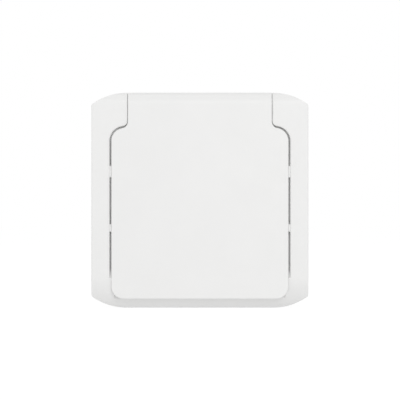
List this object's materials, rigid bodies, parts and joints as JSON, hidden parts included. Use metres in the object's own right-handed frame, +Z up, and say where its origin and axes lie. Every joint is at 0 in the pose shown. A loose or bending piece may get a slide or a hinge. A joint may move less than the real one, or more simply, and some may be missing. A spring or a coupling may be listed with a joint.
{
  "type": "outdoor weatherproof socket",
  "caption": "Square surface-mounted outdoor socket with a sprung lid hinged between ears, a round recessed pin well with earth clips, shutter, gaskets and a screwed back box.",
  "frame": {"origin": "middle of the back face that lies on the wall", "axes": "+Z up, +X to the right seen from the front, the front faces -Y and the wall is on the +Y side"},
  "size_m": [0.076, 0.0493, 0.0756],
  "materials": {
    "white_plastic": "satin moulded white",
    "well_plastic": "satin moulded white",
    "carrier_plastic": "dark moulded thermoset",
    "shutter_plastic": "natural moulded plastic",
    "gasket_rubber": "grey sealing rubber",
    "grommet_rubber": "light grey soft rubber",
    "contact_brass": "rolled brass",
    "plated_steel": "nickel-plated strip",
    "screw_steel": "zinc-plated steel",
    "spring_steel": "drawn stainless steel"
  },
  "bodies": {
    "housing": {"back_box": "white_plastic", "front_cover": "white_plastic", "body_gasket": "gasket_rubber", "cable_grommet": "grommet_rubber", "socket_insert": "well_plastic", "insert_seal": "gasket_rubber", "contact_carrier": "carrier_plastic", "live_contact": "contact_brass", "neutral_contact": "contact_brass", "live_terminal": "contact_brass", "neutral_terminal": "contact_brass", "earth_strap": "plated_steel", "earth_terminal": "plated_steel", "terminal_screws": "screw_steel", "shutter_guide": "carrier_plastic", "shutter_spring": "spring_steel", "centre_screw": "screw_steel", "carrier_screws": "screw_steel", "cover_screws": "screw_steel", "hinge_pin": "spring_steel", "lid_spring": "spring_steel"},
    "lid": {"lid": "white_plastic", "lid_gasket": "gasket_rubber"},
    "shutter": {"shutter": "shutter_plastic"}
  },
  "joints": [
    {"name": "lid_hinge", "type": "hinge", "parent": "housing", "child": "lid", "pos_m": [0, -0.0455, 0.034], "axis": [-1, 0, 0], "range_deg": [0, 110], "stiffness_Nm_per_rad": 0.02, "springref_deg": -34.38, "deforming": ["lid_spring"]},
    {"name": "shutter_slide", "type": "slide", "parent": "housing", "child": "shutter", "axis": [0, 0, -1], "range_m": [0, 0.006], "stiffness_N_per_m": 100, "springref_m": -0.003, "deforming": ["shutter_spring"]}
  ]
}
